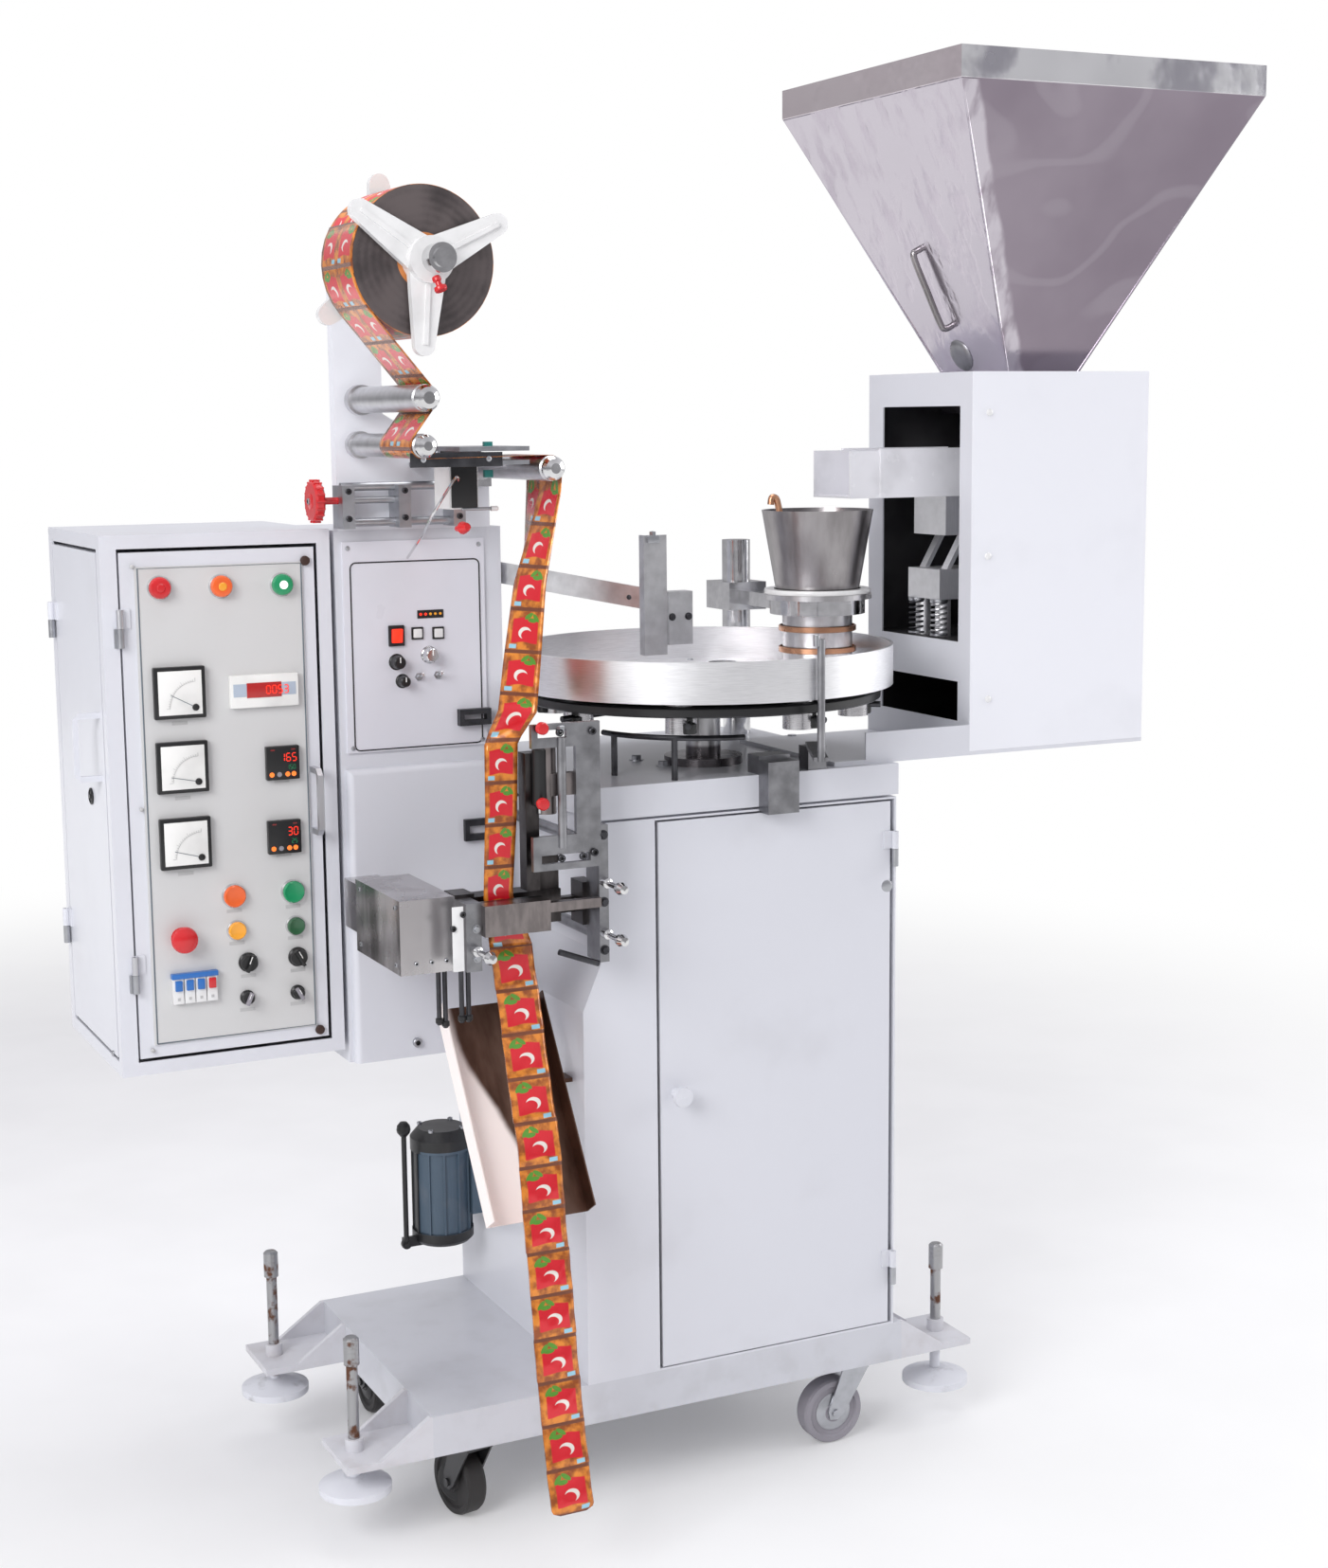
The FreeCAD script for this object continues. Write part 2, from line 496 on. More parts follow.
# Machine table: a cast top that stands a little in front of the body, on a foot.
def table():
    top = box("table_block", "table_x", "table_front", "table_low", "table_end - table_x",
              "base_deep - table_front", "table_high")
    foot = box("table_foot", "table_x + table_foot_in", "table_front + table_foot_in", "body_high",
               "table_end - table_x - 2*table_foot_in", "base_deep - table_front - 2*table_foot_in", "table_gap")
    node("machine_table", [fuse("table", [top, foot])])


# Head housing on the left of the body, with its raised lower front.
def head_housing():
    block = box("head_block", "head_x", "head_front", "head_low", "head_long", "base_deep - head_front",
                "head_high")
    bulge = box("head_bulge", "head_x + bulge_in", "bulge_front", "head_low", "head_long - bulge_in",
                "bulge_out", "bulge_high")
    soft = doc.addObject("Part::Fillet", "head_bulge_soft")
    doc.recompute()
    soft.Base = bulge
    round_by = size("bulge_round")
    limits = bulge.Shape.BoundBox
    soft.Edges = [(i, round_by, round_by) for i, edge in enumerate(bulge.Shape.Edges, 1)
                  if edge.CenterOfMass.y < limits.YMin + 0.01
                  and (edge.CenterOfMass.x < limits.XMin + 0.01 or edge.CenterOfMass.z > limits.ZMax - 0.01)]
    node("head_housing", [fuse("head", [block, soft])])
    node("photo_control_panel", [box("photo_plate", "head_x + 10", "head_front - photo_plate_thick",
                                     "head_top - photo_plate_down - photo_plate_high", "photo_plate_wide",
                                     "photo_plate_thick", "photo_plate_high")])


def column():
    """A plate on the head's front edge, with a sloped brace at its foot."""
    shape = [("column_x", "head_top"), ("brace_end", "head_top"), ("brace_end", "head_top + brace_low"),
             ("column_x + column_wide", "head_top + brace_high"), ("column_x + column_wide", "column_top"),
             ("column_x", "column_top")]
    node("reel_column", [slab("column", "XZ_Plane", shape, "head_front", "column_thick")])


# Fixed shafts that carry the reel and the guide rollers, each with its end cap.
ROLLERS = ("upper", "lower", "exit")
CAP_Y = "film_y - roller_over - 1 - dome_long"


def shafts():
    reel = rod("reel_bar", "Y", "reel_x", "film_y - shaft_out", "reel_z", "reel_shaft",
               "head_front - film_y + shaft_out")
    collar = rod("reel_collar", "Y", "reel_x", "film_y - shaft_out + 4", "reel_z", "collar_radius", "collar_long")
    parts = [fuse("reel_shaft_set", [reel, collar])]
    for name in ROLLERS:
        x, z, radius = f"{name}_x", f"{name}_z", f"{name}_radius - 1"
        shaft = [rod(f"{name}_shaft", "Y", x, CAP_Y, z, "roller_shaft", f"head_front - ({CAP_Y})"),
                 turned(f"{name}_dome", [("0", "0"), (f"{radius} - 9", "0"), (f"{radius} - 3", "3"), (radius, "8"),
                                         (radius, "dome_long"), ("0", "dome_long")], x, CAP_Y, z, "Y")]
        if name == "exit":
            edge = [("exit_x - 20", "exit_z - 30"), ("brace_end", "exit_z - 30"),
                    ("brace_end", "exit_z + 14"), ("exit_x - 14", "exit_z + 14")]
            shaft.append(slab("exit_plate", "XZ_Plane", edge, "head_front - 10", 10))
        parts.append(fuse(f"{name}_shaft_set", shaft))
    node("guide_shafts", parts)


def guide_roller(name):
    """A tube that turns on its shaft, with a flange at its rear end."""
    bore, radius = "roller_shaft + running_play", f"{name}_radius"
    low, high = "film_y - roller_over", "head_front - roller_back"
    profile = [(bore, low), (f"{radius} - 4", low), (radius, f"{low} + 4"), (radius, f"{high} - 16"),
               (f"{radius} + 3", f"{high} - 16"), (f"{radius} + 3", high), (bore, high)]
    node(f"{name}_guide_roller", [turned(f"{name}_roller", profile, f"{name}_x", 0, f"{name}_z", "Y")])


# Film reel: wound film on its core between two three-armed spiders.
def spider(name, y, hub_y, angle, ribbed):
    """Three tapered arms with round tips about a hub; a rib stands along each outer arm."""
    tip = "spider_reach - spider_tip"
    parts = [rod(f"{name}_hub", "Y", "reel_x", hub_y, "reel_z", "core_radius", "spider_thick + hub_out")]
    for i in range(3):
        blade = [slab(f"{name}_blade_{i}", "XZ_Plane", [("-spider_root", "0"), ("spider_root", "0"),
                                                        ("spider_tip", tip), ("-spider_tip", tip)],
                      0, "spider_thick"),
                 rod(f"{name}_tip_{i}", "Y", 0, 0, tip, "spider_tip", "spider_thick")]
        if ribbed:
            blade.append(box(f"{name}_rib_{i}", -3, -4, 20, 6, 5, f"{tip} - 20"))
        parts.append(turn_about(f"{name}_arm_{i}", fuse(f"{name}_arm_all_{i}", blade), "reel_x", y,
                                angle + 120 * i, "reel_z", (0, 1, 0)))
    return parts


def film_reel():
    front_y = "film_y - spider_gap - spider_thick"
    rear_y = "film_y + film_wide + spider_gap"
    arms = spider("front_spider", front_y, f"{front_y} - hub_out", 64, True)
    arms += spider("rear_spider", rear_y, rear_y, -6, False)
    arms.append(rod("reel_core", "Y", "reel_x", front_y, "reel_z", "core_radius", f"{rear_y} - ({front_y}) + 2"))
    hole = rod("reel_bore", "Y", "reel_x", f"{front_y} - hub_out - 10", "reel_z", "reel_shaft + running_play",
               f"{rear_y} - ({front_y}) + 2*hub_out + 40")
    node("reel_spiders", [cut("spiders", fuse("spiders_all", arms), [hole])])
    inner, far = "core_radius + 0.2", "film_y + film_wide"
    wound = turned("reel_wound", [(inner, "film_y"), ("reel_radius", "film_y"), ("reel_radius", far), (inner, far)],
                   "reel_x", 0, "reel_z", "Y")
    node("film_reel", [wound])


# Control cabinet beside the head: a sheet case with a front door and a side door.
CASE_HINGES = ("case_low + case_hinge_up", "case_top - case_hinge_down")
SIDE_HINGES = ("case_low + case_hinge_up + 15", "case_top - case_hinge_down - 8")
FRONT_WIDE = "case_door_end - case_door_x"
SIDE_WIDE = "side_end - side_y"


def control_case():
    outer = box("case_block", "case_x", "head_front", "case_low", "case_long", "case_deep", "case_high")
    room = box("case_room", "case_x + case_wall", "head_front + case_wall", "case_low + case_wall",
               "case_long - 2*case_wall", "case_deep - 2*case_wall", "case_high - 2*case_wall")
    high = "case_door_high + 2*door_gap"
    front = box("case_front_mouth", "case_door_x - door_gap + 2", "head_front - 1", "case_door_low - door_gap",
                f"{FRONT_WIDE} + 2*door_gap - 2", "case_wall + 2", high)
    side = box("case_side_mouth", "case_x - 1", "side_y - door_gap", "case_door_low - door_gap",
               "case_wall + 2", f"{SIDE_WIDE} + 2*door_gap - 2", high)
    stand = box("case_bracket", "case_end", "head_front + 60", "case_low + 60", "case_gap",
                "base_deep - head_front - 120", "case_high - 196")
    node("control_case", [fuse("case", [cut("case_sheet", outer, [room, front, side]), stand])])


def control_door():
    pan = door_pan("control", "case_door_x", "head_front", "case_door_low", FRONT_WIDE, "door_thick",
                   "case_door_high", ("case_door_x + door_sheet", "head_front + door_sheet",
                                      f"{FRONT_WIDE} - 2*door_sheet", "door_thick"))
    x = "case_door_x - 3"
    knuckles, bores = hinge_knuckles("control", x, "head_front - hinge_out", CASE_HINGES, x, "hinge_wing + 3",
                                     "head_front - hinge_leaf", "hinge_leaf")
    grip = bar_handle("control_handle", "YZ_Plane", "head_front", "head_front - handle_out",
                      "case_low + front_handle_up", "case_door_end - 2*handle_thick", "handle_thick")
    node("control_door", [cut("control", fuse("control_all", [pan, grip] + knuckles), bores)])
    node("control_panel", [box("panel_plate", "case_door_x + panel_in", "panel_y", "case_door_low + panel_in - 2",
                               f"{FRONT_WIDE} - 2*panel_in + 2", "panel_thick",
                               "case_door_high - 2*panel_in + 2")])
    return hinge_set("control_hinge", x, "head_front - hinge_out", CASE_HINGES, f"{x} - 8", 8,
                     "head_front - 4", 4)


def side_door():
    pan = door_pan("side", "case_x", "side_y", "case_door_low", "door_thick", SIDE_WIDE, "case_door_high",
                   ("case_x + door_sheet", "side_y + door_sheet", "door_thick", f"{SIDE_WIDE} - 2*door_sheet"))
    y = "side_end + 3"
    knuckles, bores = hinge_knuckles("side", "case_x - hinge_out", y, SIDE_HINGES, "case_x - hinge_leaf",
                                     "hinge_leaf", "side_end - hinge_wing", "hinge_wing + 3")
    grip = bar_handle("side_handle", "XZ_Plane", "case_x", "case_x - handle_out", "case_low + handle_up",
                      "side_y + 18", "handle_thick")
    node("case_side_door", [cut("side", fuse("side_all", [pan, grip] + knuckles), bores)])
    return hinge_set("side_hinge", "case_x - hinge_out", y, SIDE_HINGES, "case_x - 4", 4, y, 8)


# Instruments on the panel; each place is (left of the case's right side, below its top).
METERS = [(225, 218), (225, 322), (225, 429)]
CONTROLLERS = [(82, 326), (83, 432)]
COUNTER = (105, 222)
BREAKER = (220, 635)
LAMPS = [(246, 73), (160, 74), (73, 75)]
BUTTONS = [(158, 511), (72, 513), (156, 561), (70, 563)]
STOP = (235, 564)
SELECTORS = [(141, 609), (68, 609), (144, 660), (70, 661)]


def instruments():
    frames = [(f"meter_{i}", place, "meter_wide", "meter_wide") for i, place in enumerate(METERS)]
    frames += [(f"heat_controller_{i}", place, "controller_wide", "controller_wide")
               for i, place in enumerate(CONTROLLERS)]
    frames += [("counter", COUNTER, "counter_wide", "counter_high"),
               ("breaker", BREAKER, "breaker_wide", "breaker_high")]
    node("panel_instruments", [box(name, f"case_end - {left} - {wide}/2", "panel_y - instrument_out",
                                   f"case_top - {below} - {high}/2", wide, "instrument_out", high)
                               for name, (left, below), wide, high in frames])

    lamp = [("0", "0"), ("lamp_radius", "0"), ("lamp_radius", "5"), ("lamp_radius - 3", "9"), ("0", "14")]
    button = [("0", "0"), ("lamp_radius - 1", "0"), ("lamp_radius - 1", "6"), ("lamp_radius - 4", "6"),
              ("lamp_radius - 4", "11"), ("0", "12")]
    selector = [("0", "0"), ("selector_radius", "0"), ("selector_radius", "5"), ("selector_radius - 3", "16"),
                ("0", "16")]
    stop = [("0", "0"), ("lamp_radius", "0"), ("lamp_radius", "6"), ("lamp_radius - 6", "10"),
            ("lamp_radius - 6", "16"), ("stop_radius - 1", "18"), ("stop_radius", "23"), ("stop_radius - 6", "28"),
            ("0", "30")]
    knobs = []
    for name, profile, places_on in (("lamp", lamp, LAMPS), ("button", button, BUTTONS),
                                     ("selector", selector, SELECTORS), ("stop", stop, [STOP])):
        for i, (left, below) in enumerate(places_on):
            knob = turned(f"{name}_{i}", profile)
            knobs.append(put(knob, f"case_end - {left}", "panel_y", f"case_top - {below}", ((1, 0, 0), 90)))
    node("panel_buttons", knobs)


# Turntable with its ring, measuring cups and fixed hub.
def turntable():
    spigot = "spigot_radius + running_play"
    profile = [(spigot, "ring_low"), ("turn_radius", "ring_low"), ("turn_radius", "ring_top"),
               ("turn_radius - ring_wall", "ring_top"), ("turn_radius - ring_wall", "dish_floor"),
               (spigot, "dish_floor")]
    dish = turned("dish", profile, "turn_x", "turn_y", 0)
    cup = [("cup_radius - cup_wall", "ring_low - cup_deep"), ("cup_radius", "ring_low - cup_deep"),
           ("cup_radius", "ring_low - 4"), ("cup_radius + cup_lip", "ring_low - 4"),
           ("cup_radius + cup_lip", "ring_low"), ("cup_radius - cup_wall", "ring_low")]
    holes, cups = [], []
    count = int(size("cup_count"))
    for i in range(count):
        angle = math.radians(360 / count * i + size("cup_turn"))
        x = f"turn_x + cup_circle*{math.cos(angle):.6f}"
        y = f"turn_y + cup_circle*{math.sin(angle):.6f}"
        holes.append(rod(f"cup_hole_{i}", "Z", x, y, "ring_low - 1", "cup_radius", "dish_thick + 2"))
        cups.append(turned(f"cup_{i}", cup, x, y, 0))
    node("turntable_dish", [cut("dish_bored", dish, holes)])
    node("measuring_cups", cups)
    hub = [("0", "table_top"), ("hub_flange", "table_top"), ("hub_flange", "table_top + hub_flange_thick"),
           ("hub_radius", "table_top + hub_flange_thick"), ("hub_radius", "ring_low - rest_gap"),
           ("spigot_radius", "ring_low - rest_gap"), ("spigot_radius", "dish_floor + 1"), ("0", "dish_floor + 1")]
    node("turntable_hub", [turned("hub", hub, "turn_x", "turn_y", 0)])


# Filling cone over the turntable, held by an arm on a post behind it.
def filling_cone():
    low, seat = "dish_floor + throat_gap", "flange_z + flange_thick"
    profile = [("throat_radius - cone_wall", low), ("throat_radius", low), ("throat_radius", "flange_z"),
               ("flange_radius", "flange_z"), ("flange_radius", seat), ("cone_foot", seat),
               ("cone_radius", f"{seat} + cone_high"), ("cone_radius - cone_wall", f"{seat} + cone_high"),
               ("cone_foot - cone_wall", "flange_z + flange_thick/2"),
               ("throat_radius - cone_wall", "flange_z + flange_thick/2")]
    node("filling_cone", [turned("throat", profile, "cone_x", "cone_y", 0)])
    arm_low = "flange_z - arm_high - 0.4"
    post = rod("post", "Z", "post_x", "post_y", "table_top", "post_radius", "post_high")
    arm = box("clamp_arm", "post_x - arm_wide/2", "cone_y + flange_radius - 12", arm_low, "arm_wide",
              "post_back - flange_radius + 12", "arm_high")
    block = box("clamp_block", "post_x - clamp_half", "post_y - clamp_half - 7", "flange_z - 32",
                "2*clamp_half", "2*clamp_half + 14", "clamp_high")
    collar = rod("clamp_collar", "Z", "cone_x", "cone_y", arm_low, "throat_radius + 19", "arm_high")
    bore = rod("clamp_bore", "Z", "cone_x", "cone_y", f"{arm_low} - 20", "throat_radius + 0.4", "arm_high + 60")
    node("cone_stand", [cut("stand", fuse("stand_all", [arm, block, collar, post]), [bore])])


# Feeder box: a tray base on the table, an open sheet box, its cover, feeder and hopper.
def feeder_box():
    plate = box("tray_plate", "table_end - tray_in", "box_y", "table_top", "box_end - table_end + tray_in",
                "box_deep", "tray_thick")
    lip = box("tray_lip", "table_end - tray_lip_in", "box_y", "table_top", "box_x - table_end + tray_lip_in",
              3, "tray_lip_high")
    node("feeder_base", [fuse("tray_base", [plate, lip])])
    inner_long = "box_long - 2*box_wall"
    mouth_deep = "box_deep - mouth_side - mouth_rear"
    outer = box("feeder_outer", "box_x", "box_y + cover_thick", "box_low", "box_long",
                "box_deep - cover_thick", "box_high")
    room = box("feeder_room", "box_x + box_wall", "box_y", "box_low + box_wall", inner_long,
               "box_deep - box_wall", "box_high - 2*box_wall")
    upper = box("feeder_upper_mouth", "box_x - 1", "box_y + mouth_side", "shelf_top", "box_wall + 2",
                mouth_deep, "box_top - mouth_top - shelf_top")
    lower = box("feeder_lower_mouth", "box_x - 1", "box_y + mouth_side", "box_low + low_mouth_up",
                "box_wall + 2", mouth_deep, "low_mouth_high")
    mouth = box("feeder_top_mouth", "outlet_x", "outlet_y", "box_top - box_wall - 1", "outlet_long",
                "outlet_deep", "box_wall + 2")
    shelf = box("feeder_shelf", "box_x + box_wall", "box_y + cover_thick", "box_low + shelf_up", inner_long,
                "box_deep - box_wall - cover_thick", "shelf_thick")
    node("feeder_box", [fuse("feeder_all", [cut("feeder_sheet", outer, [room, upper, lower, mouth]), shelf])])
    node("feeder_cover", [box("cover_sheet", "box_x", "box_y", "box_low", "box_long", "cover_thick", "box_high")])


def vibrating_feeder():
    """A trough on a saddle, which four sloped leaves join to a block on four springs."""
    long = "trough_end - trough_x"
    outer = box("trough_outer", "trough_x", "trough_y", "trough_z", long, "trough_wide", "trough_high")
    jacket = box("trough_jacket", "trough_x + jacket_back", "trough_y - trough_wall", "trough_z", "jacket_long",
                 "trough_wide + 2*trough_wall", "trough_high + trough_wall")
    room = box("trough_room", "trough_x - 1", "trough_y + trough_wall", "trough_z + trough_wall",
               f"{long} - trough_wall + 1", "trough_wide - 2*trough_wall", "trough_high + 10")
    node("vibrating_trough", [cut("trough", fuse("trough_sheets", [outer, jacket]), [room])])
    block = box("vibrator_block", "drive_x", "drive_y", "drive_z", "drive_long", "drive_deep", "drive_high")
    saddle = box("trough_saddle", "drive_x + 10", "drive_y", "saddle_z", "saddle_long", "drive_deep",
                 "saddle_high")
    parts = [block, saddle]
    for i, x in enumerate(("drive_x + 18", "drive_x + drive_long - 20")):
        for j, y in enumerate(("drive_y + 18", "drive_y + drive_deep - 16")):
            parts.append(rod(f"vibrator_spring_{i}_{j}", "Z", x, y, "shelf_top", "spring_radius", "spring_high"))
    foot, head = "drive_z + drive_high - 8", "saddle_z + 6"
    for i, x in enumerate(("drive_x + 12", "drive_x + drive_long - 66")):
        leaf = [(x, foot), (f"{x} + leaf_wide", foot), (f"{x} + leaf_wide + leaf_lean", head),
                (f"{x} + leaf_lean", head)]
        for j, y in enumerate(("drive_y + 6", "drive_y + drive_deep - 22")):
            parts.append(slab(f"leaf_{i}_{j}", "XZ_Plane", leaf, y, "leaf_deep"))
    node("vibrator_drive", [fuse("vibrator", parts)])


def product_hopper():
    """A square funnel between the rim and the outlet, with an upright rim band and an open throat."""
    def frame(inset, z, low):
        sides = ("outlet_x", "outlet_end", "outlet_y", "outlet_deep") if low else \
            ("rim_x", "rim_end", "rim_y", "rim_deep")
        x, end, y, deep = (size(name) for name in sides)
        corners = [V(x + inset, y + inset, z), V(end - inset, y + inset, z),
                   V(end - inset, y + deep - inset, z), V(x + inset, y + deep - inset, z)]
        return Part.makePolygon(corners + corners[:1])

    def funnel(inset, extra):
        top, band, foot = size("rim_top"), size("band_low"), size("box_top")
        tube = Part.makeLoft([frame(inset, foot - size("outlet_drop") - extra, True),
                              frame(inset, foot, True)], True, True)
        cone = Part.makeLoft([frame(inset, foot, True), frame(inset, band, False)], True, True)
        brim = Part.makeLoft([frame(inset, band, False), frame(inset, top + extra, False)], True, True)
        return tube.fuse(cone).fuse(brim)

    shell = doc.addObject("Part::Feature", "hopper_skin")
    shell.Shape = funnel(0, 0).cut(funnel(size("hopper_wall"), 1)).removeSplitter()
    node("product_hopper", [shell])


# Film web from the reel over the rollers, its folded drop, and the chain of pouches.
def ribbon(points, thick):
    """A closed outline of a thin band along points in X and Z."""
    left, right = [], []
    for i, (x, z) in enumerate(points):
        a = points[max(i - 1, 0)]
        b = points[min(i + 1, len(points) - 1)]
        run = math.hypot(b[0] - a[0], b[1] - a[1])
        nx, nz = -(b[1] - a[1]) / run, (b[0] - a[0]) / run
        left.append((x + nx * thick / 2, z + nz * thick / 2))
        right.append((x - nx * thick / 2, z - nz * thick / 2))
    return left + right[::-1]


def film_web():
    """The web runs round the four rolls, turning the other way at each, on their inner tangents."""
    y, wide, thick = size("film_y"), size("film_wide"), size("film_thick")
    gap = size("film_gap") + thick / 2
    rolls = [(size(name + "_x"), size(name + "_z"), size(name + "_radius") + gap)
             for name in ("reel", "upper", "lower", "exit")]
    ends = [[150], [], [], []]
    for i, side in enumerate((-1, 1, -1)):
        (ax, az, ar), (bx, bz, br) = rolls[i], rolls[i + 1]
        line = math.degrees(math.atan2(bz - az, bx - ax))
        leave = line + side * math.degrees(math.acos((ar + br) / math.hypot(bx - ax, bz - az)))
        ends[i].append(leave)
        ends[i + 1].append(leave + 180)
    ends[3].append(0)
    path = []
    steps = (14, 6, 6, 6)
    for (cx, cz, r), (start, end), way, count in zip(rolls, ends, (1, -1, 1, -1), steps):
        turn = (end - start) % 360 if way > 0 else -((start - end) % 360)
        # Chords of an arc stay outside the roll when their corners stand a little further out.
        out = r / math.cos(math.radians(abs(turn) / count / 2))
        for i in range(count + 1):
            angle = math.radians(start + turn * i / count)
            reach = r if i in (0, count) else out
            path.append((cx + reach * math.cos(angle), cz + reach * math.sin(angle)))
    path.append((path[-1][0], size("exit_z") - 20))
    band = ribbon(path, thick)
    wire = Part.makePolygon([V(px, y, pz) for px, pz in band + band[:1]])
    web = doc.addObject("Part::Feature", "film_upper")
    web.Shape = Part.Face(wire).extrude(V(0, wide, 0))
    node("film_web", [web, folded_film()])


# The web folds in half on its way down, then hangs as a chain of sealed pouches.
def fold_section(z, near, fold, far, thick):
    """A thin V in plan: its near edge, its fold and its far edge, as (x, y)."""
    outer = [V(x, y, z) for x, y in (near, fold, far)]
    inner = [V(x + thick, y, z) for x, y in (far, fold, near)]
    ring = outer + inner
    return Part.makePolygon(ring + ring[:1])


def folded_film():
    y, wide, thick = size("film_y"), size("film_wide"), size("film_thick")
    x = size("exit_x") + size("exit_radius") + size("film_gap")
    web_x, web_y, half = size("web_x"), size("web_y"), size("pouch_wide") / 2
    top, station = size("exit_z") - 20.5, size("jaw_top")
    gathered = station + 211
    sections = [fold_section(top, (x, y), (x - 0.5, y + wide / 2), (x, y + wide), thick)]
    for part, near, fold, far in ((0.396, (29, 6), (52, 51), (17, 102)),
                                  (0.688, (40, 10), (73, 42), (28, 85)),
                                  (0.892, (49, 14), (85, 36), (35, 73))):
        sections.append(fold_section(top + (gathered - top) * part, (x - near[0], y - near[1]),
                                     (x - fold[0], y + fold[1]), (x - far[0], y + far[1]), thick))
    for z, open_x, fold_x, deep in ((gathered, 16, 30, 6), (station + 118, 13, 32, 3), (station + 3, 4, 38, 1)):
        sections.append(fold_section(z, (web_x + open_x, web_y), (web_x - fold_x, web_y + deep),
                                     (web_x + open_x, web_y + 2 * deep), thick))
    sections.append(fold_section(size("chain_top"), (web_x + half, web_y - 1), (web_x - half, web_y),
                                 (web_x + half, web_y + 1), thick))
    drop = doc.addObject("Part::Feature", "film_drop")
    drop.Shape = Part.makeLoft(sections, True, True)
    return drop


# The chain's lean: parts of its length from the top, and of its reach to the front.
CHAIN = [(0, 0), (0.355, 0.467), (0.868, 0.837), (1, 1)]


def pouch_chain():
    pitch, web_y, count = size("pouch_pitch"), size("web_y"), int(size("pouch_count"))
    top, out, fat = size("chain_top"), size("chain_out"), size("pouch_fat")

    def lean(z):
        part = (top - z) / (pitch * count)
        for (start, near), (end, far) in zip(CHAIN, CHAIN[1:]):
            if part <= end:
                return -out * (near + (far - near) * (part - start) / (end - start))
        return -out

    front, back = [], []
    for i in range(count):
        for part, thick in ((0, 0.8), (0.3, fat - 1), (0.7, fat)) + ((1, 0.8),) * (i == count - 1):
            z = top - pitch * (i + part)
            y = web_y + lean(z)
            front.append(V(0, y - thick / 2, z))
            back.append(V(0, y + thick / 2, z))
    ring = front + back[::-1]
    face = Part.Face(Part.makePolygon(ring + ring[:1]))
    chain = doc.addObject("Part::Feature", "chain")
    wide = size("pouch_wide")
    chain.Shape = face.extrude(V(wide, 0, 0)).translated(V(size("web_x") - wide / 2, 0, 0))
    node("pouch_chain", [chain])


